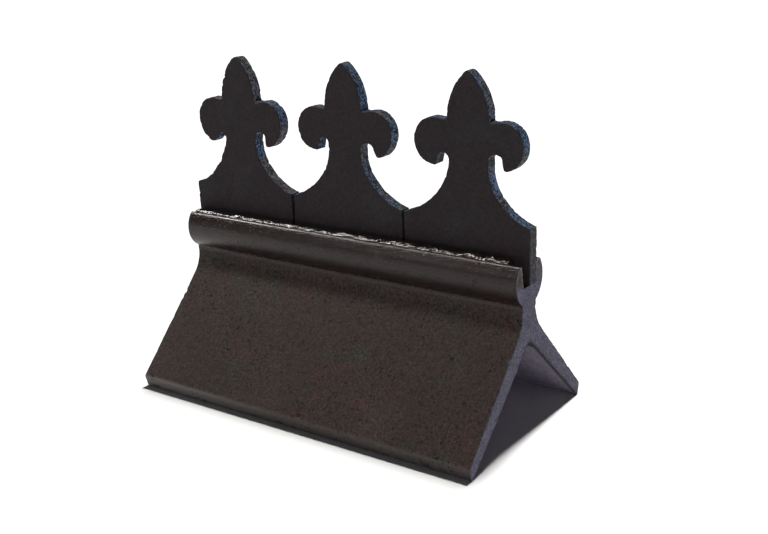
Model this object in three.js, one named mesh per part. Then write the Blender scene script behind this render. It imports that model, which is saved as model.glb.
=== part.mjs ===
// A crested ridge tile: one extruded clay tile, three fleur-de-lis crest plates standing in the
// slot along its roll, and the mastic that beds their front. Millimetres, +Z up. X runs along the
// ridge, -Y is the front, and the two wings stand on Z = 0.

import * as THREE from "three";
import { mergeVertices } from "three/addons/utils/BufferGeometryUtils.js";

const radians = THREE.MathUtils.degToRad;

// tile, the same section from end to end
const tileLength = 450;
const wingOuterSlope = radians(46.3);
const wingInnerSlope = radians(42.6);
const footOuterY = 121.7;
const footOuterZ = 14;
const footOuterRadius = 3;
const footInnerY = 115.4;
const footFlatWidth = 2.6;
const apexRadius = 9;
const neckHalfWidth = 13.8;
const coveTopZ = 143.5;
const rollRadius = 28.5;
const rollCentreZ = 173;
const rollFilletRadius = 3;
const frontLipRadius = 3.2;
const frontLipTopZ = 192.3;
const backLipRadius = 6;
const backLipTopZ = 191.5;
const slotFloorZ = 167;
const slotFrontY = -12.6;
const slotBackY = 12.4;

// crest plates, cut from flat clay and stood in the slot against its back wall
const clearance = 0.3;
const crestThickness = 15;
const crestFrontY = -3;
const plinthTopZ = 226.6;
const notchZ = 329.8;
const notchUndercut = 0.6;
const notchWidth = 2;
const budHalfWidth = 25;
const budSideRadius = 65;
const lobeTopAboveNotch = 0.9;
const lobeTopRadius = 24;
const lobeUnderRun = 13;
const lobeUnderRise = 1;
const lobeUnderDrop = 15;
const hookTipWidth = 3.2;
const hookTipHeight = 2;
const eyeRise = 6;
const stemTopBelowLobe = 22;
const shoulderRun = 18;
const shoulderRise = 3.5;
const scallopReach = 0.36;
const scallopBendOut = 1.5;
const scallopBendUp = 25;
const crestPlates = [
  {
    name: "crest_left",
    startX: -226.8,
    endX: -79.2,
    axisX: -151.8,
    stemHalfWidth: 23.6,
    lobeCentreZ: 305.5,
    budTipRadius: 6.2,
    left: {
      scallopSag: 0.6,
      eyeTopZ: 289.5,
      hookInner: 33.4,
      hookTipU: 41.2,
      hookTipZ: 277.8,
      lobeReach: 63.4,
    },
    right: {
      scallopSag: 1.3,
      eyeTopZ: 294.5,
      hookInner: 37.8,
      hookTipU: 38.6,
      hookTipZ: 277.2,
      lobeReach: 62.6,
    },
  },
  {
    name: "crest_middle",
    startX: -77,
    endX: 72.9,
    axisX: -0.6,
    stemHalfWidth: 22,
    lobeCentreZ: 306,
    budTipRadius: 4.5,
    left: {
      scallopSag: 1.05,
      eyeTopZ: 296.6,
      hookInner: 35,
      hookTipU: 37,
      hookTipZ: 281.4,
      lobeReach: 63.8,
    },
    right: {
      scallopSag: 1.2,
      eyeTopZ: 294.7,
      hookInner: 38.4,
      hookTipU: 42.6,
      hookTipZ: 279.9,
      lobeReach: 63.3,
    },
  },
  {
    name: "crest_right",
    startX: 75.1,
    endX: 226.8,
    axisX: 155.6,
    stemHalfWidth: 23.7,
    lobeCentreZ: 306.3,
    budTipRadius: 4,
    left: {
      scallopSag: 0.9,
      eyeTopZ: 294.4,
      hookInner: 36.2,
      hookTipU: 38.6,
      hookTipZ: 280.2,
      lobeReach: 65,
    },
    right: {
      scallopSag: 1.2,
      eyeTopZ: 297.2,
      hookInner: 38.7,
      hookTipU: 41.2,
      hookTipZ: 281,
      lobeReach: 63.4,
    },
  },
];

// mastic bedded into the front of the slot, short of the tile's right-hand end
const masticStartX = -224.4;
const masticEndX = 213;
const masticTopZ = 196.2;
const masticBulge = 2.4;

// straight runs that stand in for each curve
const coveSteps = 9;
const rollSteps = 18;
const smallArcSteps = 4;
const lipSteps = 6;
const outlineSteps = 9;

// points on an arc from one angle to another, both in radians, with the end points
function arcPoints(centreY, centreZ, radius, startAngle, endAngle, steps) {
  const points = [];
  for (let i = 0; i <= steps; i += 1) {
    const angle = THREE.MathUtils.lerp(startAngle, endAngle, i / steps);
    const y = centreY + radius * Math.cos(angle);
    const z = centreZ + radius * Math.sin(angle);
    points.push(new THREE.Vector2(y, z));
  }
  return points;
}

// a corner between two straight runs, rounded by a quadratic curve that starts `size` before it
function roundedCorner(before, corner, after, size, steps) {
  const start = corner.clone().add(before.clone().sub(corner).setLength(size));
  const end = corner.clone().add(after.clone().sub(corner).setLength(size));
  return new THREE.QuadraticBezierCurve(start, corner, end).getPoints(steps);
}

// the outside of one half of the tile, from the foot's flat up to where the roll meets its lip
function tileOuterHalf(lipRadius, lipTopZ) {
  const footFlatOuter = new THREE.Vector2(footInnerY + footFlatWidth, 0);
  const footCorner = new THREE.Vector2(footOuterY, footOuterZ);
  // the cove leaves the neck upright and runs into the wing's slope without a break
  const run = (coveTopZ - footOuterZ) / Math.tan(wingOuterSlope);
  const slopeSine = Math.sin(wingOuterSlope);
  const coveRadius = ((neckHalfWidth - footOuterY + run) * slopeSine) / (1 - slopeSine);
  const coveCentreY = neckHalfWidth + coveRadius;
  const coveEnd = Math.PI + Math.PI / 2 - wingOuterSlope;
  const cove = arcPoints(coveCentreY, coveTopZ, coveRadius, coveEnd, Math.PI, coveSteps);
  // the small fillet under the roll touches the upright neck and the roll's circle
  const filletY = neckHalfWidth + rollFilletRadius;
  const filletZ = rollCentreZ - Math.sqrt((rollRadius + rollFilletRadius) ** 2 - filletY ** 2);
  const filletEnd = Math.atan2(rollCentreZ - filletZ, -filletY);
  const fillet = arcPoints(filletY, filletZ, rollFilletRadius, Math.PI, filletEnd, smallArcSteps);
  // the lip's arc is tangent to the inside of the roll's circle
  const lipCentreZ = lipTopZ - lipRadius;
  const lipAngle = Math.asin((lipCentreZ - rollCentreZ) / (rollRadius - lipRadius));
  const rollStart = Math.atan2(filletZ - rollCentreZ, filletY);
  const rollArc = arcPoints(0, rollCentreZ, rollRadius, rollStart, lipAngle, rollSteps);
  return [
    footFlatOuter,
    ...roundedCorner(footFlatOuter, footCorner, cove[0], footOuterRadius, smallArcSteps),
    ...cove,
    ...fillet,
    ...rollArc.slice(1),
  ];
}

// the top of one lip and its slot wall, from the roll down to the slot's floor
function lipAndWall(lipRadius, lipTopZ, floorY) {
  const lipCentreZ = lipTopZ - lipRadius;
  const lipAngle = Math.asin((lipCentreZ - rollCentreZ) / (rollRadius - lipRadius));
  const lipCentreY = (rollRadius - lipRadius) * Math.cos(lipAngle);
  // the wall is the line from the floor that just touches the lip's arc
  const rise = lipCentreZ - slotFloorZ;
  const offset = lipCentreY - floorY;
  const reach = Math.hypot(offset, rise);
  const wallAngle = Math.atan2(rise, offset) + Math.asin(lipRadius / reach);
  const lip = arcPoints(lipCentreY, lipCentreZ, lipRadius, lipAngle, wallAngle + Math.PI / 2, lipSteps);
  return [...lip.slice(1), new THREE.Vector2(floorY, slotFloorZ)];
}

function mirrored(points) {
  return points.map((point) => new THREE.Vector2(-point.x, point.y));
}

// the whole closed section in Y and Z, anticlockwise from the back foot
function tileSection() {
  const back = [
    ...tileOuterHalf(backLipRadius, backLipTopZ),
    ...lipAndWall(backLipRadius, backLipTopZ, slotBackY),
  ];
  const front = [
    ...tileOuterHalf(frontLipRadius, frontLipTopZ),
    ...lipAndWall(frontLipRadius, frontLipTopZ, -slotFrontY),
  ];
  const apexHeight = footInnerY * Math.tan(wingInnerSlope);
  const arcCentreZ = apexHeight - apexRadius / Math.cos(wingInnerSlope);
  const hollowStart = Math.PI / 2 + wingInnerSlope;
  const hollowEnd = Math.PI / 2 - wingInnerSlope;
  const hollow = arcPoints(0, arcCentreZ, apexRadius, hollowStart, hollowEnd, smallArcSteps);
  const frontFoot = new THREE.Vector2(-footInnerY, 0);
  const backFoot = new THREE.Vector2(footInnerY, 0);
  return [...back, ...mirrored(front).reverse(), frontFoot, ...hollow, backFoot];
}

// a closed section in Y and Z, carried along X from one station to another
function alongRidge(section, startX, endX) {
  const geometry = new THREE.ExtrudeGeometry(new THREE.Shape(section), {
    depth: endX - startX,
    bevelEnabled: false,
    steps: 1,
  });
  const turn = new THREE.Matrix4().makeBasis(
    new THREE.Vector3(0, 1, 0),
    new THREE.Vector3(0, 0, 1),
    new THREE.Vector3(1, 0, 0),
  );
  geometry.applyMatrix4(turn);
  geometry.translate(startX, 0, 0);
  return welded(geometry);
}

// one vertex at each corner, so that neighbouring faces share it
function welded(geometry) {
  geometry.deleteAttribute("normal");
  geometry.deleteAttribute("uv");
  const merged = mergeVertices(geometry, 1e-4);
  merged.computeVertexNormals();
  return merged;
}

// one side of a crest from the plinth's corner to the bud's tip; u is measured out from the axis
function crestHalf(plate, side, edgeU) {
  const stemU = plate.stemHalfWidth;
  const stemZ = plate.lobeCentreZ - stemTopBelowLobe;
  const eyeZ = side.eyeTopZ - eyeRise;
  const eyeU = (stemU + side.hookInner) / 2;
  const eyeHalfWidth = (side.hookInner - stemU) / 2;
  const hookStartU = side.hookTipU - hookTipWidth / 4;
  const hookEndU = hookStartU + hookTipWidth;
  const lobeU = side.lobeReach - lobeTopRadius;
  const lobeRise = notchZ + lobeTopAboveNotch - plate.lobeCentreZ;
  const lobeUnderZ = plate.lobeCentreZ - lobeUnderDrop;
  const budCentreU = budHalfWidth - budSideRadius;
  const tipReach = budSideRadius - plate.budTipRadius;
  const tipZ = notchZ + Math.sqrt(tipReach ** 2 - budCentreU ** 2);
  const tipAngle = Math.atan2(tipZ - notchZ, -budCentreU);
  const path = new THREE.Path();
  path.moveTo(edgeU, plinthTopZ);
  // the scallop sweeps from the plinth into the stem
  const chordU = THREE.MathUtils.lerp(stemU, edgeU, scallopReach);
  const chordZ = THREE.MathUtils.lerp(plinthTopZ, stemZ, scallopReach);
  const bendU = THREE.MathUtils.lerp(chordU, stemU + scallopBendOut, side.scallopSag);
  const bendZ = THREE.MathUtils.lerp(chordZ, plinthTopZ + scallopBendUp, side.scallopSag);
  path.bezierCurveTo(edgeU - shoulderRun, plinthTopZ + shoulderRise, bendU, bendZ, stemU, stemZ);
  // the eye between the stem and the hook
  path.lineTo(stemU, eyeZ);
  path.absellipse(eyeU, eyeZ, eyeHalfWidth, eyeRise, Math.PI, 0, true, 0);
  path.lineTo(hookStartU, side.hookTipZ + hookTipHeight);
  // the lobe, from the hook's tip round to the notch beside the bud
  path.quadraticCurveTo(side.hookTipU, side.hookTipZ, hookEndU, side.hookTipZ);
  path.bezierCurveTo(
    lobeU + lobeUnderRun,
    side.hookTipZ + lobeUnderRise,
    side.lobeReach,
    lobeUnderZ,
    side.lobeReach,
    plate.lobeCentreZ,
  );
  path.absellipse(lobeU, plate.lobeCentreZ, lobeTopRadius, lobeRise, 0, Math.PI / 2, false, 0);
  path.lineTo(budHalfWidth + notchWidth, notchZ - notchUndercut);
  path.lineTo(budHalfWidth, notchZ);
  // the bud's side, then its rounded tip
  path.absarc(budCentreU, notchZ, budSideRadius, 0, tipAngle, false);
  path.absarc(0, tipZ, plate.budTipRadius, tipAngle, Math.PI / 2, false);
  return path.getPoints(outlineSteps);
}

function crestOutline(plate) {
  const right = crestHalf(plate, plate.right, plate.endX - plate.axisX);
  const left = mirrored(crestHalf(plate, plate.left, plate.axisX - plate.startX));
  const upperEdge = [...right, ...left.reverse().slice(1)];
  const bottomZ = slotFloorZ + clearance;
  return [
    new THREE.Vector2(plate.startX - plate.axisX, bottomZ),
    new THREE.Vector2(plate.endX - plate.axisX, bottomZ),
    ...upperEdge,
  ];
}

function crestGeometry(plate) {
  const geometry = new THREE.ExtrudeGeometry(new THREE.Shape(crestOutline(plate)), {
    depth: crestThickness,
    bevelEnabled: false,
    steps: 1,
  });
  // the outline is drawn in X and Z and cut through along Y
  geometry.rotateX(Math.PI / 2);
  geometry.translate(0, crestFrontY + crestThickness, 0);
  return welded(geometry);
}

// the bead fills the slot in front of the plates and rises to a domed top against them
function masticSection() {
  const wall = mirrored(lipAndWall(frontLipRadius, frontLipTopZ, -slotFrontY));
  const floorFront = wall[wall.length - 1];
  const wallTop = wall[wall.length - 2];
  const backY = crestFrontY - clearance;
  const bottomZ = slotFloorZ + clearance;
  const frontBottom = new THREE.Vector2(floorFront.x + 2 * clearance, bottomZ);
  const frontTop = new THREE.Vector2(wallTop.x + 2 * clearance, wallTop.y);
  const backTop = new THREE.Vector2(backY, masticTopZ);
  const crownY = (frontTop.x + backY) / 2 - masticBulge;
  const crown = new THREE.Vector2(crownY, masticTopZ + masticBulge / 2);
  const dome = new THREE.QuadraticBezierCurve(backTop, crown, frontTop).getPoints(lipSteps);
  return [frontBottom, new THREE.Vector2(backY, bottomZ), ...dome];
}

function finish(color, roughness) {
  return new THREE.MeshStandardMaterial({ color, roughness, metalness: 0 });
}

const tileClay = finish(0x3c322f, 0.62);
const crestClay = finish(0x332c30, 0.78);
const masticBlack = finish(0x14100f, 0.25);

const ridgeTile = new THREE.Group();

const tileGeometry = alongRidge(tileSection(), -tileLength / 2, tileLength / 2);
const tile = new THREE.Mesh(tileGeometry, tileClay);
tile.name = "ridge_body";
ridgeTile.add(tile);

for (const plate of crestPlates) {
  const crest = new THREE.Mesh(crestGeometry(plate), crestClay.clone());
  crest.name = plate.name;
  crest.position.x = plate.axisX;
  ridgeTile.add(crest);
}

const mastic = new THREE.Mesh(alongRidge(masticSection(), masticStartX, masticEndX), masticBlack);
mastic.name = "mastic_bead";
ridgeTile.add(mastic);

export default ridgeTile;
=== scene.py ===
import math
import bpy
import numpy as np
from mathutils import Matrix, Vector
from mathutils.geometry import delaunay_2d_cdt


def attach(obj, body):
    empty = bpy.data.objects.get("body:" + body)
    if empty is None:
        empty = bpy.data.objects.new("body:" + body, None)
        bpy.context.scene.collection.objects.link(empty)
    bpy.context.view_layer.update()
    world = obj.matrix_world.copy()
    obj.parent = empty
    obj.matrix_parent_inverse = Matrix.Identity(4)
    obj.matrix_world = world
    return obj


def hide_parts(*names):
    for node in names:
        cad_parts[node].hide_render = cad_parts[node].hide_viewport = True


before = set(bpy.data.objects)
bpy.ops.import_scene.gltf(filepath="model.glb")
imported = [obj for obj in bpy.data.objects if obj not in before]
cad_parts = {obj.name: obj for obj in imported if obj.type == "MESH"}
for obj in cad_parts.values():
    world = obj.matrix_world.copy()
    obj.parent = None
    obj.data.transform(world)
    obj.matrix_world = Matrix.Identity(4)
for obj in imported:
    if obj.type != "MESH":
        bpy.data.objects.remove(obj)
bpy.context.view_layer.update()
mm = 0.001


# the camera comes first, so that everything after it is judged from the same place; metres and degrees
view = {
    "place": (0.717, -0.9385, 0.5347),
    "yaw": 35.61,
    "pitch": 18.08,
    "roll": -2.12,
    "lens": 51.65,
    "sensor": 36,
    "clipEnd": 50,
}


def makeCamera(v):
    # forward comes from yaw and pitch, and right is level before the roll
    yaw, pitch, roll = (math.radians(v[key]) for key in ("yaw", "pitch", "roll"))
    forward = Vector((-math.sin(yaw) * math.cos(pitch), math.cos(yaw) * math.cos(pitch), -math.sin(pitch)))
    right = Vector((math.cos(yaw), math.sin(yaw), 0))
    up = right.cross(forward)
    # roll turns right and up about the line of sight
    rolledRight = math.cos(roll) * right + math.sin(roll) * up
    rolledUp = -math.sin(roll) * right + math.cos(roll) * up
    data = bpy.data.cameras.new("camera")
    data.lens = v["lens"]
    data.sensor_width = v["sensor"]
    data.clip_end = v["clipEnd"]
    camera = bpy.data.objects.new("camera", data)
    turn = Matrix((rolledRight, rolledUp, -forward)).transposed().to_4x4()
    camera.matrix_world = Matrix.Translation(v["place"]) @ turn
    bpy.context.collection.objects.link(camera)
    bpy.context.scene.camera = camera


makeCamera(view)

# floor and lights; metres, degrees, watts for the lamps
studio = {
    "worldColor": (0.93, 0.97, 1.0),
    "worldStrength": 0.045,
    "floorHalf": 14.0,
    "floorColor": (0.88, 0.88, 0.88),
    "floorRoughness": 0.8,
    "floorSpecular": 0.2,
    # a strip of small suns behind the ridge lights the floor evenly, out to its far edge
    "stripLowest": 57.5,
    "stripHighest": 65,
    "stripSuns": 4,
    "stripTurn": -2,
    "stripAngle": 8,
    "floorStrength": 4.9,
    "stripColor": (1.0, 0.99, 0.97),
    # a softer sun from the same side grazes the clay
    "topFrom": (-0.1, 0.5, 1.0),
    "topAngle": 9,
    "topStrength": 2.0,
    # name, place, aim, width, height, power, color
    "lamps": [
        ("leftSoftbox", (-1.35, -0.3, 1.5), (-0.15, 0.0, 0.19), 0.3, 0.28, 17.0, (1.0, 0.96, 0.93)),
        ("rightSoftbox", (-0.42, -0.3, 1.5), (0.2, 0.0, 0.19), 0.16, 0.25, 6.0, (1.0, 0.94, 0.86)),
        ("frontFill", (-1.0, -1.9, 1.1), (0.0, 0.0, 0.15), 0.9, 0.7, 3.0, (1.0, 0.93, 0.91)),
        ("coolSide", (1.5, -0.55, 0.16), (0.2, 0.05, 0.12), 0.5, 0.25, 10.0, (0.82, 0.88, 1.0)),
    ],
}


def lightOnly(light, receivers, blockers=None):
    # the light falls on one set of things, and only another set throws shadows in it
    light.light_linking.receiver_collection = receivers
    if blockers:
        light.light_linking.blocker_collection = blockers


def makeSun(name, fromWay, angle, strength, tint):
    data = bpy.data.lights.new(name, "SUN")
    data.angle = math.radians(angle)
    data.energy = strength
    data.color = tint
    sun = bpy.data.objects.new(name, data)
    sun.matrix_world = Vector(fromWay).to_track_quat("Z", "Y").to_matrix().to_4x4()
    bpy.context.collection.objects.link(sun)
    return sun


def makeLamp(name, place, aim, width, height, power, tint):
    data = bpy.data.lights.new(name, "AREA")
    data.shape = "RECTANGLE"
    data.size = width
    data.size_y = height
    data.energy = power
    data.color = tint
    lamp = bpy.data.objects.new(name, data)
    away = Vector(place) - Vector(aim)
    lamp.matrix_world = Matrix.Translation(place) @ away.to_track_quat("Z", "Y").to_matrix().to_4x4()
    bpy.context.collection.objects.link(lamp)
    return lamp


def makeFloor(s):
    half = s["floorHalf"]
    corners = [(-half, -half, 0), (half, -half, 0), (half, half, 0), (-half, half, 0)]
    mesh = bpy.data.meshes.new("studioFloor")
    mesh.from_pydata(corners, [], [(0, 1, 2, 3)])
    floor = bpy.data.objects.new("studioFloor", mesh)
    bpy.context.collection.objects.link(floor)
    material = bpy.data.materials.new("paleFloor")
    material.use_nodes = True
    shader = material.node_tree.nodes["Principled BSDF"]
    shader.inputs["Base Color"].default_value = (*s["floorColor"], 1)
    shader.inputs["Roughness"].default_value = s["floorRoughness"]
    shader.inputs["Specular IOR Level"].default_value = s["floorSpecular"]
    mesh.materials.append(material)
    return floor


def makeStudio(s):
    world = bpy.data.worlds.new("studioWorld")
    world.use_nodes = True
    background = world.node_tree.nodes["Background"]
    background.inputs["Color"].default_value = (*s["worldColor"], 1)
    background.inputs["Strength"].default_value = s["worldStrength"]
    bpy.context.scene.world = world
    # what each kind of light falls on; the clay pieces are put in their sets once they are made
    onFloor, onClay, tileOnly = (bpy.data.collections.new(name) for name in ("onFloor", "onClay", "tileOnly"))
    onFloor.objects.link(makeFloor(s))
    turn = math.radians(s["stripTurn"])
    strength = s["floorStrength"] / s["stripSuns"]
    for rise in np.radians(np.linspace(s["stripLowest"], s["stripHighest"], s["stripSuns"])):
        toSun = (math.sin(turn) * math.cos(rise), math.cos(turn) * math.cos(rise), math.sin(rise))
        sun = makeSun("floorSun", toSun, s["stripAngle"], strength, s["stripColor"])
        lightOnly(sun, onFloor, tileOnly)
    lightOnly(makeSun("topSun", s["topFrom"], s["topAngle"], s["topStrength"], s["stripColor"]), onClay)
    for lamp in s["lamps"]:
        lightOnly(makeLamp(*lamp), onClay)
    return onClay, tileOnly


onClay, tileOnly = makeStudio(studio)
bpy.context.scene.view_settings.view_transform = "Standard"
print("studio ready")


# helpers that every piece uses
def latticeNoise(points, cell, seed, size=32):
    # random numbers stand on a cubic lattice, and each point takes a smooth blend of the eight round it
    table = np.random.default_rng(seed).uniform(-1, 1, (size, size, size))
    scaled = np.asarray(points, float) / cell
    low = np.floor(scaled).astype(int)
    part = scaled - low
    part = part * part * (3 - 2 * part)
    total = np.zeros(scaled.shape[:-1])
    for corner in np.ndindex(2, 2, 2):
        step = np.array(corner)
        weight = np.where(step == 1, part, 1 - part).prod(axis=-1)
        place = (low + step) % size
        total += weight * table[place[..., 0], place[..., 1], place[..., 2]]
    return total


def layeredNoise(points, cell, seed, layers=3, fall=0.55):
    # each layer is finer and weaker than the one before
    total = 0
    for i in range(layers):
        total = total + fall ** i * latticeNoise(points, cell / 2 ** i, seed + i)
    return total


def smoothStep(value, low, high):
    # 0 below low, 1 above high, and 3t^2 - 2t^3 between them
    t = np.clip((value - low) / (high - low), 0, 1)
    return t * t * (3 - 2 * t)


def arc(centre, radius, start, end, count):
    # points at even angles round a centre
    angle = np.linspace(start, end, count)
    return np.stack([centre[0] + radius * np.cos(angle), centre[1] + radius * np.sin(angle)], axis=1)


def bezier(controls, count):
    # the Bernstein sum of the control points
    controls = np.array(controls, float)
    t = np.linspace(0, 1, count)[:, None]
    last = len(controls) - 1
    return sum(math.comb(last, i) * (1 - t) ** (last - i) * t ** i * controls[i] for i in range(last + 1))


def towards(start, end, distance):
    # the point that lies this far from start on the way to end
    return start + (end - start) / np.linalg.norm(end - start) * distance


def joined(pieces, touching=1e-4):
    # one polyline, with the repeated points where pieces meet taken out
    line = np.concatenate(pieces)
    keep = np.r_[True, np.linalg.norm(np.diff(line, axis=0), axis=1) > touching]
    line = line[keep]
    if np.linalg.norm(line[0] - line[-1]) < touching:
        line = line[:-1]
    return line


def evenly(line, stepAt, probes=4000):
    # walks a closed polyline and puts a point after every step; the step may change along the way
    closed = np.vstack([line, line[:1]])
    along = np.r_[0, np.cumsum(np.linalg.norm(np.diff(closed, axis=0), axis=1))]
    probe = np.linspace(0, along[-1], probes)
    spot = np.stack([np.interp(probe, along, closed[:, k]) for k in (0, 1)], axis=1)
    density = np.r_[0, np.cumsum(np.diff(probe) / stepAt(spot[:-1]))]
    count = int(round(density[-1]))
    place = np.interp(np.arange(count) / count * density[-1], density, probe)
    return np.stack([np.interp(place, along, closed[:, k]) for k in (0, 1)], axis=1)


def outwardNormals(ring):
    # a ring that runs anticlockwise has its outside on the right of the way it runs
    run = np.roll(ring, -1, axis=0) - np.roll(ring, 1, axis=0)
    run /= np.linalg.norm(run, axis=1)[:, None]
    return np.stack([run[:, 1], -run[:, 0]], axis=1)


def insideRing(points, ring, tiny=1e-9):
    # a point is inside when a line from it to the right crosses the ring an odd number of times
    a, b = ring, np.roll(ring, -1, axis=0)
    px, py = points[:, 0, None], points[:, 1, None]
    spans = (a[:, 1] > py) != (b[:, 1] > py)
    rise = np.where(b[:, 1] == a[:, 1], tiny, b[:, 1] - a[:, 1])
    crossing = px < (b[:, 0] - a[:, 0]) * (py - a[:, 1]) / rise + a[:, 0]
    return (spans & crossing).sum(axis=1) % 2 == 1


def fillRing(ring, spacing, seed, jitter=0.2, clearance=0.55, blocks=8, tiny=1e-6):
    # a jittered lattice of points inside the ring, joined to it by triangles
    rng = np.random.default_rng(seed)
    low, high = ring.min(axis=0), ring.max(axis=0)
    gridX, gridY = np.meshgrid(np.arange(low[0], high[0], spacing), np.arange(low[1], high[1], spacing))
    gridX[::2] += spacing / 2
    inner = np.stack([gridX.ravel(), gridY.ravel()], axis=1)
    inner += rng.uniform(-jitter, jitter, inner.shape) * spacing
    inner = inner[insideRing(inner, ring)]
    # the ring is taken in blocks, so that the table of distances stays small
    gap = np.full(len(inner), np.inf)
    for block in np.array_split(ring, blocks):
        gap = np.minimum(gap, np.linalg.norm(inner[:, None] - block, axis=2).min(axis=1))
    inner = inner[gap > spacing * clearance]
    flat = np.vstack([ring, inner])
    count = len(ring)
    edges = [(i, (i + 1) % count) for i in range(count)]
    result = delaunay_2d_cdt([Vector(p) for p in flat], edges, [], 0, tiny, True)
    crossings = [tuple(spot) for spot, ids in zip(result[0], result[3]) if not ids]
    if crossings:
        print("ring crosses itself near", [tuple(round(v, 1) for v in spot) for spot in crossings])
    # a crossing has no point of its own yet, so it becomes a new inner one
    fresh = iter(range(len(flat), len(flat) + len(crossings)))
    origin = np.array([ids[0] if ids else next(fresh) for ids in result[3]])
    faces = np.array([face[:] for face in result[2]])
    # triangles that lie in the ring's bays are left out
    middle = np.array([spot[:] for spot in result[0]])[faces].mean(axis=1)
    faces = origin[faces[insideRing(middle, ring)]]
    return np.vstack([inner, crossings]) if crossings else inner, faces


def gridFaces(rows, columns):
    # four-sided faces between neighbouring rows and columns of points; the last row joins the first
    index = np.arange(rows * columns).reshape(rows, columns)
    index = np.vstack([index, index[:1]])
    return np.stack([index[:-1, :-1], index[1:, :-1], index[1:, 1:], index[:-1, 1:]], axis=-1).reshape(-1, 4)


def putPiece(name, points, faces, nodes, marks=None, smoothAngle=40):
    # points in millimetres; marks are numbers kept on the points for the materials to read
    mesh = bpy.data.meshes.new(name)
    mesh.from_pydata((np.asarray(points) * mm).tolist(), [], faces)
    mesh.validate()
    for key, values in (marks or {}).items():
        layer = mesh.attributes.new(key, "FLOAT", "POINT")
        layer.data.foreach_set("value", np.asarray(values, np.float32))
    mesh.update()
    mesh.shade_smooth()
    mesh.set_sharp_from_angle(angle=math.radians(smoothAngle))
    piece = bpy.data.objects.new(name, mesh)
    bpy.context.collection.objects.link(piece)
    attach(piece, "root")
    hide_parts(nodes)
    return piece


# the tile: two wings, a coved neck and a slotted roll; millimetres and degrees
tile = {
    "length": 450,
    "wingOuterSlope": 46.3,
    "wingInnerSlope": 42.6,
    "footOuterY": 121.7,
    "footOuterZ": 14,
    "footOuterRadius": 3,
    "footInnerY": 115.4,
    "footFlatWidth": 2.6,
    "apexRadius": 9,
    "neckHalfWidth": 13.8,
    "coveTopZ": 143.5,
    "rollRadius": 28.5,
    "rollCentreZ": 173,
    "rollFilletRadius": 3,
    # a lip's radius, its top, and where its slot wall meets the slot's floor
    "frontLip": (3.2, 192.3, 12.6),
    "backLip": (6, 191.5, 12.4),
    "slotFloorZ": 167,
    "arris": 0.9,
    "seed": 11,
    # points on each curve of the section
    "footPoints": 8,
    "covePoints": 60,
    "filletPoints": 6,
    "rollPoints": 70,
    "lipPoints": 12,
    "apexPoints": 10,
    # how far apart points stand: round the section, along the ridge, and over the end faces
    "fineStep": 1.5,
    "fineZones": (20, 140),
    "wingStep": 2.3,
    "roofSideStep": 3.4,
    "roofSideMargin": 2,
    "stationStep": 2.15,
    "endSpacing": 2.0,
    # slow waves, hand marks and the end faces' grain: a depth and the cell of its noise
    "waves": (0.28, 46),
    "handMarks": (0.10, 8),
    "endGrain": (0.35, 4),
    "alongStretch": 0.3,
    "rollFrom": (141, 150),
    "rollCalm": 0.45,
    "chipShare": 0.62,
    "chipSquash": 1.35,
    "chipWobble": (0.45, 2.6),
    # the ends' arris: its usual share, how much that varies, and the cell
    "arrisUneven": (0.9, 0.5, 3),
    "arrisDepth": 0.9,
    # bites in it: depth, cell and how rare they are, and the y and heights that they keep to
    "bite": (4.2, 7, 0.35),
    "biteWithin": (108, 8, 160),
    "seamZ": 144.2,
    "seamHeight": 0.5,
    "seamWidth": 0.8,
    "seamWithin": 17,
    "seamWander": (0.4, 20),
    "seamGapCell": 9,
    "footCrumble": (2.2, 6),
    "footEdge": (1.0, 2.4),
    "footFlatMargin": 1.5,
    "footFlatBelow": 0.5,
    "bareBelow": 0.8,
    "bandTop": (13, 17),
    "bandFrom": 114,
    # the coating over the lips' ends: where it starts, and how full it is in front and behind
    "coatFrom": (166, 174),
    "coatFull": (0.95, 0.55),
    # painted shade inside the right end, along the hollow's back side and further in under its top, and along
    # the back wing's inner arris
    "shadeFrom": (220, 224),
    "shadeBeyondY": 6,
    "topShadeFrom": (204, 218),
    "topShadeWithin": 13,
    "arrisShadeWidth": 2.0,
    # the facet on the right end's back wing: a point on its edge, the way across it, and its depth
    "facetAt": (30.3, 93.6),
    "facetAcross": (0.857, 0.515),
    "facetAbove": (12, 30),
    "facetDepth": 0.55,
}


def hollowHeight(t, y):
    # the height of the hollow's straight sides, which fall from the middle to the feet
    return (t["footInnerY"] - np.abs(y)) * math.tan(math.radians(t["wingInnerSlope"]))


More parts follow.
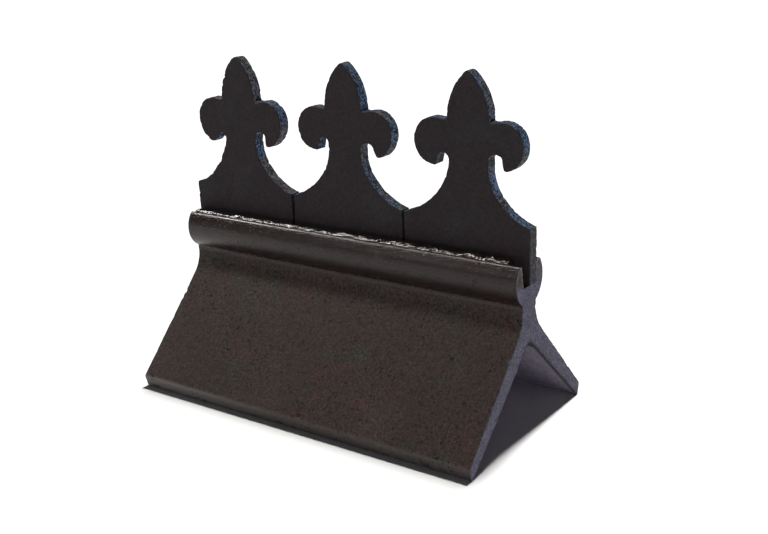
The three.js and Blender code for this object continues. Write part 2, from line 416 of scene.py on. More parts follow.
def tileHalf(t, lip):
    # flat foot, rounded foot corner, straight wing running into the cove's arc, small fillet, roll
    radius, topZ, floorY = lip
    outer = math.radians(t["wingOuterSlope"])
    run = (t["coveTopZ"] - t["footOuterZ"]) / math.tan(outer)
    coveRadius = (t["neckHalfWidth"] - t["footOuterY"] + run) * math.sin(outer) / (1 - math.sin(outer))
    coveY = t["neckHalfWidth"] + coveRadius
    cove = arc((coveY, t["coveTopZ"]), coveRadius, 1.5 * math.pi - outer, math.pi, t["covePoints"])
    flat = np.array([t["footInnerY"] + t["footFlatWidth"], 0])
    corner = np.array([t["footOuterY"], t["footOuterZ"]])
    before = towards(corner, flat, t["footOuterRadius"])
    after = towards(corner, cove[0], t["footOuterRadius"])
    foot = np.vstack([flat, bezier([before, corner, after], t["footPoints"])])
    filletY = t["neckHalfWidth"] + t["rollFilletRadius"]
    filletZ = t["rollCentreZ"] - math.sqrt((t["rollRadius"] + t["rollFilletRadius"]) ** 2 - filletY ** 2)
    filletEnd = math.atan2(t["rollCentreZ"] - filletZ, -filletY)
    fillet = arc((filletY, filletZ), t["rollFilletRadius"], math.pi, filletEnd, t["filletPoints"])
    lipZ = topZ - radius
    lipAngle = math.asin((lipZ - t["rollCentreZ"]) / (t["rollRadius"] - radius))
    rollStart = math.atan2(filletZ - t["rollCentreZ"], filletY)
    roll = arc((0, t["rollCentreZ"]), t["rollRadius"], rollStart, lipAngle, t["rollPoints"])
    # the lip's arc, then the slot wall that just touches it and runs down to the slot's floor
    lipY = (t["rollRadius"] - radius) * math.cos(lipAngle)
    rise, offset = lipZ - t["slotFloorZ"], lipY - floorY
    wallAngle = math.atan2(rise, offset) + math.asin(radius / math.hypot(offset, rise))
    lipArc = arc((lipY, lipZ), radius, lipAngle, wallAngle + math.pi / 2, t["lipPoints"])
    return joined([foot, cove, fillet, roll, lipArc, [[floorY, t["slotFloorZ"]]]])


def tileSection(t):
    # both outer halves, then the hollow's straight sides and its rounded top
    inner = math.radians(t["wingInnerSlope"])
    apexZ = t["footInnerY"] * math.tan(inner) - t["apexRadius"] / math.cos(inner)
    hollow = arc((0, apexZ), t["apexRadius"], math.pi / 2 + inner, math.pi / 2 - inner, t["apexPoints"])
    front = tileHalf(t, t["frontLip"])[::-1] * [-1, 1]
    line = joined([tileHalf(t, t["backLip"]), front, [[-t["footInnerY"], 0]], hollow, [[t["footInnerY"], 0]]])

    def step(spot):
        # finer round the roll and the feet, coarser on the faces towards the roof
        y, z = spot[:, 0], spot[:, 1]
        roofSide = z < hollowHeight(t, y) + t["roofSideMargin"]
        lowest, highest = t["fineZones"]
        outside = np.where((z > highest) | (z < lowest), t["fineStep"], t["wingStep"])
        return np.where(roofSide, t["roofSideStep"], outside)

    return evenly(line, step)


def stationsAlong(length, step, arris, drawnFor=0.9):
    # close rows at the ends to round the arris, then even ones; the close rows are drawn for one arris
    fine = np.array([0, 0.12, 0.3, 0.6, 1.0, 1.6, 2.6, 4.0]) * arris / drawnFor
    middle = np.linspace(fine[-1], length - fine[-1], int(length / step))[1:-1]
    return np.concatenate([fine, middle, length - fine[::-1]]) - length / 2


# worn spots on the tile's front: along the ridge, height, radius, depth
tileChips = [
    (-210, 89, 4.0, 0.9), (13, 113, 2.6, 1.0), (-111, 88, 3.0, 0.6), (-123, 55, 4.2, 0.6),
    (8, 18, 5.0, 1.4), (140, 128, 2.8, 1.4), (207, 88, 4.5, 1.1), (130, 16, 3.2, 1.2),
    (98, 119, 2.4, 0.8), (161, 91, 5.5, 0.7), (-168, 16, 4.0, 0.9), (64, 15, 4.6, 1.0),
    (-60, 15, 3.4, 0.8), (186, 16, 5.2, 1.1), (-214, 15, 5.5, 1.6), (-30, 120, 2.2, 0.6),
]


def tileRelief(t, place, worn):
    # how far a point sinks: waves and hand marks, calmer on the roll, and a bowl for each worn spot, which
    # is noted in worn too
    x, y, z = place[..., 0], place[..., 1], place[..., 2]
    depth, cell = t["waves"]
    sink = depth * (1 + layeredNoise(place * [t["alongStretch"], 1, 1], cell, t["seed"], 2))
    depth, cell = t["handMarks"]
    sink += depth * (1 + layeredNoise(place, cell, t["seed"] + 5, 3))
    sink *= 1 - t["rollCalm"] * smoothStep(z, *t["rollFrom"])
    share, cell = t["chipWobble"]
    wobble = 1 + share * latticeNoise(place, cell, t["seed"] + 9)
    for chipX, chipZ, radius, depth in tileChips:
        away = np.hypot(x - chipX, (z - chipZ) * t["chipSquash"]) / (t["chipShare"] * radius * wobble)
        bowl = np.clip(1 - away ** 2, 0, 1) * (y < 0)
        np.maximum(worn, bowl, out=worn)
        sink += depth * bowl
    return sink


def tileArris(t, place):
    # the end's arris is a quarter round of uneven size, bitten away here and there but not on thin corners
    x, y, z = place[..., 0], place[..., 1], place[..., 2]
    depth, cell, rare = t["bite"]
    bite = np.clip(layeredNoise(place * [0.1, 1, 1] + [40, 0, 0], cell, t["seed"] + 20, 3) - rare, 0, 1)
    widest, lowest, highest = t["biteWithin"]
    stout = (np.abs(y) < widest) & (z < highest) & (z > lowest)
    usual, varies, unevenCell = t["arrisUneven"]
    uneven = usual + varies * latticeNoise(place * [0.05, 1, 1], unevenCell, t["seed"] + 30)
    arris = t["arris"] * uneven + depth * bite * stout
    fall = np.clip(1 - (t["length"] / 2 - np.abs(x)) / arris, 0, 1)
    return fall, arris * (1 - np.sqrt(np.clip(1 - fall ** 2, 0, 1))) * t["arrisDepth"]


def lipCoat(t, y, z):
    # the coating runs over the lips' ends, and is thinner on the back one
    return smoothStep(z, *t["coatFrom"]) * np.where(y < 0, *t["coatFull"])


def tileSurface(t, place):
    # the sink of every point of the long faces, and the marks that the material reads
    x, y, z = place[..., 0], place[..., 1], place[..., 2]
    worn = np.zeros(x.shape)
    sink = tileRelief(t, place, worn)
    fall, rounding = tileArris(t, place)
    sink += rounding
    # the die left a fine raised line at the top of the cove
    stretched = place * [t["alongStretch"], 1, 1]
    wander, cell = t["seamWander"]
    fromSeam = z - t["seamZ"] - wander * latticeNoise(stretched, cell, 77)
    seam = np.exp(-(fromSeam / t["seamWidth"]) ** 2)
    seam = seam * smoothStep(latticeNoise(stretched, t["seamGapCell"], 78), -0.5, 0.0)
    sink -= t["seamHeight"] * seam * (np.abs(y) < t["seamWithin"])
    # the foot's outer edge is crumbled a little, and the flat under it isn't touched
    outside = np.abs(y) > t["footInnerY"] + t["footFlatMargin"]
    depth, cell = t["footCrumble"]
    crumble = np.clip(layeredNoise(place, cell, t["seed"] + 50, 3), 0, 1)
    sink *= np.where((z < t["footFlatBelow"]) & ~outside, 0, 1)
    edgeZ, edgeWidth = t["footEdge"]
    sink += depth * (np.exp(-((z - edgeZ) / edgeWidth) ** 2) * outside) * crumble
    # the faces towards the roof are bare clay, made lighter as painted light inside the hollow, with painted
    # shade just inside the right end
    bareAndLit = (z < hollowHeight(t, y) + t["roofSideMargin"]) | (z < t["bareBelow"])
    alongBack = smoothStep(x, *t["shadeFrom"]) * (y > t["shadeBeyondY"])
    underTop = smoothStep(x, *t["topShadeFrom"]) * (np.abs(y) < t["topShadeWithin"])
    return sink, {
        "cut": (smoothStep(fall, 0.1, 0.7) * (1 - lipCoat(t, y, z))).ravel(),
        "worn": worn.ravel(),
        "roll": smoothStep(z, *t["rollFrom"]).ravel(),
        "band": ((1 - smoothStep(z, *t["bandTop"])) * (np.abs(y) > t["bandFrom"])).ravel(),
        "seam": (seam * (np.abs(y) < t["seamWithin"])).ravel(),
        "bareAndLit": (bareAndLit * 1.0).ravel(),
        "paintedShade": (bareAndLit * np.maximum(alongBack, underTop)).ravel(),
    }


def tileEnd(t, inner, column, facing):
    # an end face's own points stand back by their grain, and the right end has an old facet too
    y, z = inner[:, 0], inner[:, 1]
    depth, cell = t["endGrain"]
    grain = depth * (1 + layeredNoise(np.c_[inner, np.full(len(inner), column)], cell, t["seed"] + 60, 3))
    if facing > 0:
        # the facet crosses the back wing's end, below its inner arris
        (atY, atZ), (acrossY, acrossZ) = t["facetAt"], t["facetAcross"]
        beside = (y - atY) * acrossY + (z - atZ) * acrossZ
        lowY, lowZ = t["facetAbove"]
        grain += t["facetDepth"] * smoothStep(-beside, -1.0, 1.0) * (y > lowY) * (z > lowZ)
    points = np.c_[facing * t["length"] / 2 - facing * grain, inner]
    # painted shade lies along the back wing's inner arris
    slope = math.radians(t["wingInnerSlope"])
    fromHollow = (z - hollowHeight(t, y)) * math.cos(slope)
    marks = {key: np.zeros(len(inner)) for key in ("worn", "roll", "band", "seam", "bareAndLit")}
    marks["cut"] = 1 - lipCoat(t, y, z)
    marks["paintedShade"] = np.exp(-(fromHollow / t["arrisShadeWidth"]) ** 2) * (y > 0)
    return points, marks


def makeTile(t):
    # the closed section is carried along X, and each point sinks along the section's own normal
    section = tileSection(t)
    normal = outwardNormals(section)
    stations = stationsAlong(t["length"], t["stationStep"], t["arris"])
    rows, columns = len(section), len(stations)
    place = np.empty((rows, columns, 3))
    place[..., 0] = stations
    place[..., 1:] = section[:, None]
    sink, marks = tileSurface(t, place)
    place[..., 1:] -= normal[:, None] * sink[..., None]
    place[..., 2] = np.maximum(place[..., 2], 0)
    # the section runs anticlockwise seen from +X, so the grid's faces already point outwards
    points, faces = place.reshape(-1, 3), gridFaces(rows, columns).tolist()
    # each end is filled from its own last ring of points
    for column, facing in ((0, -1), (columns - 1, 1)):
        inner, ends = fillRing(place[:, column, 1:], t["endSpacing"], t["seed"] + column)
        order = np.concatenate([np.arange(rows) * columns + column, len(points) + np.arange(len(inner))])
        ends = order[ends]
        faces += (ends if facing > 0 else ends[:, ::-1]).tolist()
        endPoints, endMarks = tileEnd(t, inner, column, facing)
        points = np.vstack([points, endPoints])
        marks = {key: np.concatenate([values, endMarks[key]]) for key, values in marks.items()}
    return putPiece("ridgeTileBody", points, faces, "ridge_body", marks)


tilePiece = makeTile(tile)
onClay.objects.link(tilePiece)
tileOnly.objects.link(tilePiece)
print("tile ready:", len(tilePiece.data.polygons), "faces")


# what the three crest plates share; millimetres
crest = {
    "frontY": -3,
    "thickness": 15,
    "bottomZ": 167.3,
    "plinthTopZ": 226.6,
    "notchZ": 329.8,
    "notchUndercut": 0.6,
    "notchWidth": 2,
    "budHalfWidth": 25,
    "budSideRadius": 65,
    "lobeTopAboveNotch": 0.9,
    "lobeTopRadius": 24,
    "lobeUnder": (13, 1, 15),
    "hookTip": (3.2, 2),
    "eyeRise": 6,
    "stemTopBelowLobe": 22,
    "shoulder": (18, 3.5),
    "scallopReach": 0.36,
    "scallopBend": (1.5, 25),
    "arris": 0.8,
    # points on each curve of the outline
    "scallopPoints": 60,
    "eyePoints": 24,
    "hookPoints": 8,
    "underPoints": 40,
    "lobePoints": 30,
    "budPoints": 40,
    "tipPoints": 8,
    # how far apart points stand: round the outline, down in the slot, and over the faces
    "step": 1.15,
    "slotStep": 2.4,
    "slotBelow": 190,
    "faceSpacing": 1.7,
    "arrisRows": 4,
    "flatRows": 12,
    # the cut edge's grain and waves, and the faces' waves and grain: a depth and the cell of its noise
    "edgeGrain": (0.22, 2.6),
    "edgeWaves": (0.2, 9),
    "faceWaves": (0.14, 14),
    "faceGrain": (0.05, 2.5),
    # crumbs missing along the arrises: depth, cell, how rare they are and how far in they reach
    "crumbs": (1.3, 4.5, 0.25, 1.6),
    # a broken side: depth, cell, how far out from the axis it starts, and the height it ends at
    "broken": (1.6, 9, 12, 290),
    "brokenNick": (1.9, 356, 2.2),
    # only this share of the sink is kept where the plate stands in the slot
    "beddedShare": 0.1,
    "beddedTo": (168, 172),
    # the cut edge's look starts and ends over these distances from the front and the back
    "edgeFrom": (0.5, 1.3),
    "edgeTo": (0.2, 1.0),
    "uprightNormal": 0.98,
    "uprightBelow": 225,
    "rightEndFrom": 220,
    "rightEndShare": 0.45,
}
# each plate's own sizes; a side is its scallop's sag, eye top, hook inner, hook tip out, hook tip
# height and lobe reach
crestPlates = {
    "crest_left": {
        "piece": "crestPlateLeft",
        "start": -226.8,
        "end": -79.2,
        "axis": -151.8,
        "stemHalf": 23.6,
        "lobeZ": 305.5,
        "tipRadius": 6.2,
        "left": (0.6, 289.5, 33.4, 41.2, 277.8, 63.4),
        "right": (1.3, 294.5, 37.8, 38.6, 277.2, 62.6),
        "crumbly": 1.5,
        "leftSideBroken": True,
        "seed": 31,
    },
    "crest_middle": {
        "piece": "crestPlateMiddle",
        "start": -77,
        "end": 72.9,
        "axis": -0.6,
        "stemHalf": 22,
        "lobeZ": 306,
        "tipRadius": 4.5,
        "left": (1.05, 296.6, 35, 37, 281.4, 63.8),
        "right": (1.2, 294.7, 38.4, 42.6, 279.9, 63.3),
        "crumbly": 0.9,
        "leftSideBroken": False,
        "seed": 47,
    },
    "crest_right": {
        "piece": "crestPlateRight",
        "start": 75.1,
        "end": 226.8,
        "axis": 155.6,
        "stemHalf": 23.7,
        "lobeZ": 306.3,
        "tipRadius": 4,
        "left": (0.9, 294.4, 36.2, 38.6, 280.2, 65),
        "right": (1.2, 297.2, 38.7, 41.2, 281, 63.4),
        "crumbly": 0.7,
        "leftSideBroken": False,
        "seed": 59,
    },
}


def crestHalf(c, plate, side, edge):
    # shoulder and scallop, stem, eye, hook, lobe, notch, then the bud's side and tip
    sag, eyeTop, hookInner, hookU, hookZ, reach = side
    stem, lobeZ, baseZ = plate["stemHalf"], plate["lobeZ"], c["plinthTopZ"]
    stemZ, eyeZ = lobeZ - c["stemTopBelowLobe"], eyeTop - c["eyeRise"]
    # the scallop's third control point slides from the chord towards the stem's foot by the sag
    chord = np.array([stem, baseZ]) + c["scallopReach"] * np.array([edge - stem, stemZ - baseZ])
    inward = np.array([stem + c["scallopBend"][0], baseZ + c["scallopBend"][1]])
    bend = chord + (inward - chord) * sag
    shoulder = (edge - c["shoulder"][0], baseZ + c["shoulder"][1])
    scallop = bezier([(edge, baseZ), shoulder, bend, (stem, stemZ)], c["scallopPoints"])
    # the eye is half an ellipse between the stem and the hook
    eyeU, eyeHalf = (stem + hookInner) / 2, (hookInner - stem) / 2
    turn = np.linspace(math.pi, 0, c["eyePoints"])
    eye = np.stack([eyeU + eyeHalf * np.cos(turn), eyeZ + c["eyeRise"] * np.sin(turn)], axis=1)
    width, height = c["hookTip"]
    start = hookU - width / 4
    hook = bezier([(start, hookZ + height), (hookU, hookZ), (start + width, hookZ)], c["hookPoints"])
    # the lobe: a cubic up its underside, then a quarter ellipse over to the notch
    lobeU = reach - c["lobeTopRadius"]
    run, rise, drop = c["lobeUnder"]
    controls = [hook[-1], (lobeU + run, hookZ + rise), (reach, lobeZ - drop), (reach, lobeZ)]
    under = bezier(controls, c["underPoints"])
    turn = np.linspace(0, math.pi / 2, c["lobePoints"])
    lobeRise = c["notchZ"] + c["lobeTopAboveNotch"] - lobeZ
    top = np.stack([lobeU + c["lobeTopRadius"] * np.cos(turn), lobeZ + lobeRise * np.sin(turn)], axis=1)
    half, tipRadius = c["budHalfWidth"], plate["tipRadius"]
    notch = [[half + c["notchWidth"], c["notchZ"] - c["notchUndercut"]], [half, c["notchZ"]]]
    # the bud's side and its tip are two arcs that meet without a corner
    centreU = half - c["budSideRadius"]
    tipRise = math.sqrt((c["budSideRadius"] - tipRadius) ** 2 - centreU ** 2)
    tipAngle = math.atan2(tipRise, -centreU)
    bud = arc((centreU, c["notchZ"]), c["budSideRadius"], 0, tipAngle, c["budPoints"])
    tip = arc((0, c["notchZ"] + tipRise), tipRadius, tipAngle, math.pi / 2, c["tipPoints"])
    return joined([scallop, eye, hook, under, top, notch, bud, tip])


def crestRing(c, plate):
    # the flat base, the right half and the left half mirrored, closed, with evenly set points
    start, end, axis = plate["start"], plate["end"], plate["axis"]
    rightHalf = crestHalf(c, plate, plate["right"], end - axis)
    leftHalf = crestHalf(c, plate, plate["left"], axis - start) * [-1, 1]
    base = [[start - axis, c["bottomZ"]], [end - axis, c["bottomZ"]]]
    line = joined([base, rightHalf, leftHalf[::-1]]) + [axis, 0]
    return evenly(line, lambda spot: np.where(spot[:, 1] < c["slotBelow"], c["slotStep"], c["step"]))


def crestRows(c):
    # from front to back over the cut edge: how far across each row stands, and how far the arris draws it in
    arris, thickness = c["arris"], c["thickness"]
    turn = np.linspace(0, math.pi / 2, c["arrisRows"])
    flat = np.linspace(arris, thickness - arris, c["flatRows"])[1:-1]
    across = np.concatenate([arris * (1 - np.cos(turn)), flat, thickness - arris * (1 - np.sin(turn))])
    inset = np.concatenate([arris * (1 - np.sin(turn)), np.zeros(len(flat)), arris * (1 - np.cos(turn))])
    return across, inset


def crestSink(c, plate, place, normal, across, inset):
    # the arris, a granular cut surface, and crumbs missing along the arrises
    seed = plate["seed"]
    (grainDepth, grainCell), (waveDepth, waveCell) = c["edgeGrain"], c["edgeWaves"]
    grain = grainDepth * (1 + layeredNoise(place, grainCell, seed, 2))
    grain = grain + waveDepth * (1 + layeredNoise(place, waveCell, seed + 3, 2))
    depth, cell, rare, width = c["crumbs"]
    nearFace = np.exp(-(np.minimum(across, c["thickness"] - across) / width) ** 2)
    crumbs = np.clip(layeredNoise(place * [1, 0.35, 1], cell, seed + 6, 3) - rare, 0, 1)
    sink = inset + grain + depth * plate["crumbly"] * nearFace * crumbs
    if plate["leftSideBroken"]:
        # its outer side was broken, not cut: jagged below the hook, with a nick in the bud
        x, z = place[..., 0], place[..., 2]
        depth, cell, beside, below = c["broken"]
        jagged = layeredNoise(place * [1, 0.25, 1], cell, seed + 21, 3)
        side = smoothStep(-normal[:, 0, None], 0.25, 0.6) * smoothStep(plate["axis"] - beside - x, 0, 6)
        lessLow = 0.35 + 0.65 * smoothStep(z, 224, 232)
        sink += side * lessLow * smoothStep(below - z, 0, 8) * depth * np.clip(jagged + 0.3, 0, 2)
        nick, nickZ, nickWidth = c["brokenNick"]
        sink += side * nick * np.exp(-((z - nickZ) / nickWidth) ** 2)
    return sink * (smoothStep(place[..., 2], *c["beddedTo"]) * (1 - c["beddedShare"]) + c["beddedShare"])


def crestEdgeMark(c, place, normal, across):
    # 1 on the cut edge, and 0 on the upright sides of the base, but for the right end's, which shows a little
    mark = smoothStep(across, *c["edgeFrom"]) * smoothStep(c["thickness"] - across, *c["edgeTo"])
    side = (np.abs(normal[:, 0, None]) > c["uprightNormal"]) & (place[..., 2] < c["uprightBelow"])
    rightEnd = place[..., 0] > c["rightEndFrom"]
    return mark * np.where(side, np.where(rightEnd, c["rightEndShare"], 0.0), 1.0)


def crestFace(c, inner, facing, seed):
    # a face's own points: the plane, less slow waves and fine grain
    spots = np.c_[inner[:, 0], np.full(len(inner), facing * 50.0), inner[:, 1]]
    (waveDepth, waveCell), (grainDepth, grainCell) = c["faceWaves"], c["faceGrain"]
    relief = waveDepth * (1 + layeredNoise(spots, waveCell, seed + 12, 3))
    relief = relief + grainDepth * (1 + latticeNoise(spots, grainCell, seed + 15))
    plane = c["frontY"] if facing < 0 else c["frontY"] + c["thickness"]
    return np.c_[inner[:, 0], plane - facing * relief, inner[:, 1]]


def makeCrest(name, plate, c):
    # the outline is carried from front to back, each point sinks along the outline's normal, and the
    # front and back are filled from the first and last loop
    ring = crestRing(c, plate)
    normal = outwardNormals(ring)
    across, inset = (row[None].repeat(len(ring), axis=0) for row in crestRows(c))
    rows, columns = across.shape
    place = np.empty((rows, columns, 3))
    place[..., 0] = ring[:, 0, None]
    place[..., 1] = c["frontY"] + across
    place[..., 2] = ring[:, 1, None]
    sink = crestSink(c, plate, place, normal, across, inset)
    place[..., 0] -= normal[:, 0, None] * sink
    place[..., 2] -= normal[:, 1, None] * sink
    points = place.reshape(-1, 3)
    faces = gridFaces(rows, columns)[:, ::-1].tolist()
    mark = crestEdgeMark(c, place, normal, across).ravel()
    for column, facing in ((0, -1), (columns - 1, 1)):
        inner, fill = fillRing(place[:, column][:, [0, 2]], c["faceSpacing"], plate["seed"] + column)
        order = np.concatenate([np.arange(rows) * columns + column, len(points) + np.arange(len(inner))])
        fill = order[fill]
        faces += (fill if facing < 0 else fill[:, ::-1]).tolist()
        points = np.vstack([points, crestFace(c, inner, facing, plate["seed"])])
        mark = np.concatenate([mark, np.zeros(len(inner))])
    return putPiece(plate["piece"], points, faces, name, {"cut": mark})


crestPieces = []
for plateName, plate in crestPlates.items():
    piece = makeCrest(plateName, plate, crest)
    crestPieces.append(piece)
    onClay.objects.link(piece)
    print(plateName, "ready:", len(piece.data.polygons), "faces")


# the mastic bead that beds the plates along the front of the slot; millimetres
mastic = {
    "startX": -224.4,
    "endX": 213,
    "step": 0.9,
    "around": 46,
    "centreY": -10.6,
    "centreZ": 185.5,
    "backY": -3.05,
    # half widths at the top, to the back and to the front; lower down the bead narrows
    "topHalf": (7.5, 8.6),
    "lowHalf": (1.5, 0.28),
    "heightAbove": 9.3,
    "depthBelow": 17,
    # lumps on the top: a height and the cell of its noise
    "broadLumps": (1.0, 10),
    "smallLumps": (0.75, 4.2),
    "fineLumps": (0.38, 2.4),
    "sway": (0.7, 7),
    "settled": 0.3,
    # the left part was smoothed: its lumps are this share, and full again further right
    "calmShare": 0.45,
    "calmTo": (-120, 60),
    # both ends draw in over this length, to this share of the section, towards a point below the middle
    "endLength": 5,
    "endShare": 0.15,
    "endDrop": 4,
    "seed": 83,
}


def makeMastic(m):
    # a soft bead: a rounded section carried along the slot, its top pushed up and down into lumps
    stations = np.linspace(m["startX"], m["endX"], int((m["endX"] - m["startX"]) / m["step"]))
    turn = np.linspace(0, 2 * math.pi, m["around"], endpoint=False)
    angle, x = np.meshgrid(turn, stations, indexing="ij")
    # powers under 1 square the circle a little
    wide = np.abs(np.cos(angle)) ** 0.75 * np.sign(np.cos(angle))
    high = np.abs(np.sin(angle)) ** 0.8 * np.sign(np.sin(angle))
    topHalf = np.where(wide > 0, *m["topHalf"])
    least, share = m["lowHalf"]
    y = m["centreY"] + wide * np.where(high > 0, topHalf, least + share * topHalf)
    z = m["centreZ"] + high * np.where(high > 0, m["heightAbove"], m["depthBelow"])
    place = np.stack([x, y, z], axis=-1)
    (broad, broadCell), (small, smallCell) = m["broadLumps"], m["smallLumps"]
    heave = broad * layeredNoise(place * [1, 1, 0.2], broadCell, m["seed"], 2)
    heave = heave + small * layeredNoise(place * [1, 1, 0.3], smallCell, m["seed"] + 4, 2)
    calm = m["calmShare"] + (1 - m["calmShare"]) * smoothStep(x, *m["calmTo"])
    fine, fineCell = m["fineLumps"]
    fineHeave = fine * layeredNoise(place * [1, 1, 0.5], fineCell, m["seed"] + 12, 2)
    lump = smoothStep(high, 0.05, 0.75)
    place[..., 2] += lump * (heave * calm - m["settled"] + fineHeave)
    sway, swayCell = m["sway"]
    place[..., 1] += lump * sway * layeredNoise(place, swayCell, m["seed"] + 8, 2)
    place[..., 1] = np.minimum(place[..., 1], m["backY"])
    draw = np.clip(np.minimum(x - m["startX"], m["endX"] - x) / m["endLength"], 0, 1)
    draw = m["endShare"] + (1 - m["endShare"]) * np.sqrt(1 - (1 - draw) ** 2)
    endZ = m["centreZ"] - m["endDrop"]
    place[..., 1] = m["centreY"] + (place[..., 1] - m["centreY"]) * draw
    place[..., 2] = endZ + (place[..., 2] - endZ) * draw
    rows, columns = place.shape[:2]
    faces = gridFaces(rows, columns).tolist()
    for column, facing in ((0, -1), (columns - 1, 1)):
        loop = np.arange(rows) * columns + column
        faces.append((loop if facing > 0 else loop[::-1]).tolist())
    return putPiece("masticBead", place.reshape(-1, 3), faces, "mastic_bead", smoothAngle=180)


masticPiece = makeMastic(mastic)
onClay.objects.link(masticPiece)
print("mastic ready:", len(masticPiece.data.polygons), "faces")


# shader groups, and short ways to wire nodes
def newGroup(name, inputs, outputs):
    group = bpy.data.node_groups.new(name, "ShaderNodeTree")
    for label, kind, value in inputs:
        socket = group.interface.new_socket(label, in_out="INPUT", socket_type=kind)
        if value is not None:
            socket.default_value = value
    for label, kind in outputs:
        group.interface.new_socket(label, in_out="OUTPUT", socket_type=kind)
    return group, group.nodes.new("NodeGroupInput"), group.nodes.new("NodeGroupOutput")


class Wiring:
    # adds nodes to one tree and joins them up; a value may be a number, a color or another node's socket
    def __init__(self, tree):
        self.tree = tree

    def add(self, kind, values=None, **settings):
        node = self.tree.nodes.new(kind)
        for key, value in settings.items():
            setattr(node, key, value)
        for key, value in (values or {}).items():
            self.feed(node.inputs[key], value)
        return node

    def feed(self, socket, value):
        if isinstance(value, bpy.types.NodeSocket):
            self.tree.links.new(value, socket)
        else:
            socket.default_value = value

    def math(self, operation, a, b):
        return self.add("ShaderNodeMath", {0: a, 1: b}, operation=operation).outputs[0]

    def plus(self, a, b):
        return self.math("ADD", a, b)

    def minus(self, a, b):
        return self.math("SUBTRACT", a, b)

    def times(self, a, b):
        return self.math("MULTIPLY", a, b)

    def blend(self, factor, a, b, how="MIX"):
        node = self.add("ShaderNodeMix", data_type="RGBA", blend_type=how)
        self.feed(node.inputs[0], factor)
        self.feed(node.inputs[6], a)
        self.feed(node.inputs[7], b)
        return node.outputs[2]

    def ramp(self, value, low, high, start=0.0, end=1.0):
        node = self.add("ShaderNodeMapRange", {0: value, 1: low, 2: high, 3: start, 4: end})
        node.interpolation_type = "SMOOTHSTEP"
        return node.outputs[0]

    def noise(self, vector, scale, detail, rough):
        values = {"Vector": vector, "Scale": scale, "Detail": detail, "Roughness": rough}
        return self.add("ShaderNodeTexNoise", values).outputs[0]

    def grouped(self, group, values):
        return self.add("ShaderNodeGroup", values, node_tree=group)

    def attribute(self, name):
        return self.add("ShaderNodeAttribute", attribute_name=name).outputs["Fac"]


def color(red, green, blue):
    return (red, green, blue, 1)


def makeMottleGroup():
    # slow patches of two tints over a base, and a fine speckle that brightens and darkens it
    group, entry, out = newGroup("clayMottle", [
        ("Vector", "NodeSocketVector", None),
        ("Base", "NodeSocketColor", color(0.05, 0.04, 0.035)),
        ("Warm", "NodeSocketColor", color(0.08, 0.04, 0.03)),
        ("Cool", "NodeSocketColor", color(0.05, 0.055, 0.05)),
        ("Speckle", "NodeSocketFloat", 0.3),
    ], [("Color", "NodeSocketColor")])
    w = Wiring(group)
    vector = entry.outputs["Vector"]
    moved = w.add("ShaderNodeVectorMath", {0: vector, 1: (0.7, 0.3, 0.5)}, operation="ADD").outputs[0]
    warmth = w.ramp(w.noise(vector, 14, 5, 0.6), 0.50, 0.72, 0, 0.75)
    tinted = w.blend(warmth, entry.outputs["Base"], entry.outputs["Warm"])
    coolness = w.ramp(w.noise(moved, 22, 5, 0.6), 0.50, 0.70, 0, 0.8)
    tinted = w.blend(coolness, tinted, entry.outputs["Cool"])
    fine = w.plus(w.noise(vector, 300, 3, 0.7), w.noise(vector, 1100, 2, 0.7))
    level = w.plus(w.times(w.minus(fine, 1.0), entry.outputs["Speckle"]), 1.0)
    shade = w.add("ShaderNodeCombineXYZ", {0: level, 1: level, 2: level}).outputs[0]
    w.feed(out.inputs["Color"], w.blend(1.0, tinted, shade, "MULTIPLY"))
    return group


def makePitGroup():
    # small round holes at a spread of sizes; only some cells of the pattern hold one
    group, entry, out = newGroup("finePits", [
        ("Vector", "NodeSocketVector", None),
        ("Scale", "NodeSocketFloat", 260.0),
        ("Share", "NodeSocketFloat", 0.3),
        ("Width", "NodeSocketFloat", 0.3),
    ], [("Mask", "NodeSocketFloat")])
    w = Wiring(group)
    place = {"Vector": entry.outputs["Vector"], "Scale": entry.outputs["Scale"]}
    cells = w.add("ShaderNodeTexVoronoi", place)
    pick = w.add("ShaderNodeSeparateColor", {0: cells.outputs["Color"]})
    chosen = w.math("LESS_THAN", pick.outputs[0], entry.outputs["Share"])
    width = w.times(entry.outputs["Width"], w.plus(pick.outputs[1], 0.4))
    sides = {0: cells.outputs["Distance"], 1: w.times(width, 0.55), 2: width, 3: 1.0, 4: 0.0}
    hole = w.add("ShaderNodeMapRange", sides)
    w.feed(out.inputs["Mask"], w.times(hole.outputs[0], chosen))
    return group


def makeGranularGroup():
    # the crystalline look of sawn or broken clay: grains of different brightness with dark gaps
    group, entry, out = newGroup("granularCut", [
        ("Vector", "NodeSocketVector", None),
        ("Dark", "NodeSocketColor", color(0.04, 0.05, 0.08)),
        ("Light", "NodeSocketColor", color(0.25, 0.28, 0.36)),
        ("Scale", "NodeSocketFloat", 420.0),
    ], [("Color", "NodeSocketColor"), ("Height", "NodeSocketFloat")])
    w = Wiring(group)
    vector = entry.outputs["Vector"]
    grains = w.add("ShaderNodeTexVoronoi", {"Vector": vector, "Scale": entry.outputs["Scale"]})
    pick = w.add("ShaderNodeSeparateColor", {0: grains.outputs["Color"]})
    mix = w.plus(w.times(pick.outputs[0], 0.55), w.times(w.noise(vector, 70, 4, 0.6), 0.7))
    mix = w.minus(mix, w.times(grains.outputs["Distance"], 0.35))
    brightness = w.ramp(mix, 0.25, 0.78)
    w.feed(out.inputs["Color"], w.blend(brightness, entry.outputs["Dark"], entry.outputs["Light"]))
    w.feed(out.inputs["Height"], w.plus(mix, w.times(w.noise(vector, 900, 2, 0.5), 0.4)))
    return group


mottleGroup = makeMottleGroup()
pitGroup = makePitGroup()
granularGroup = makeGranularGroup()
print("shader groups ready")


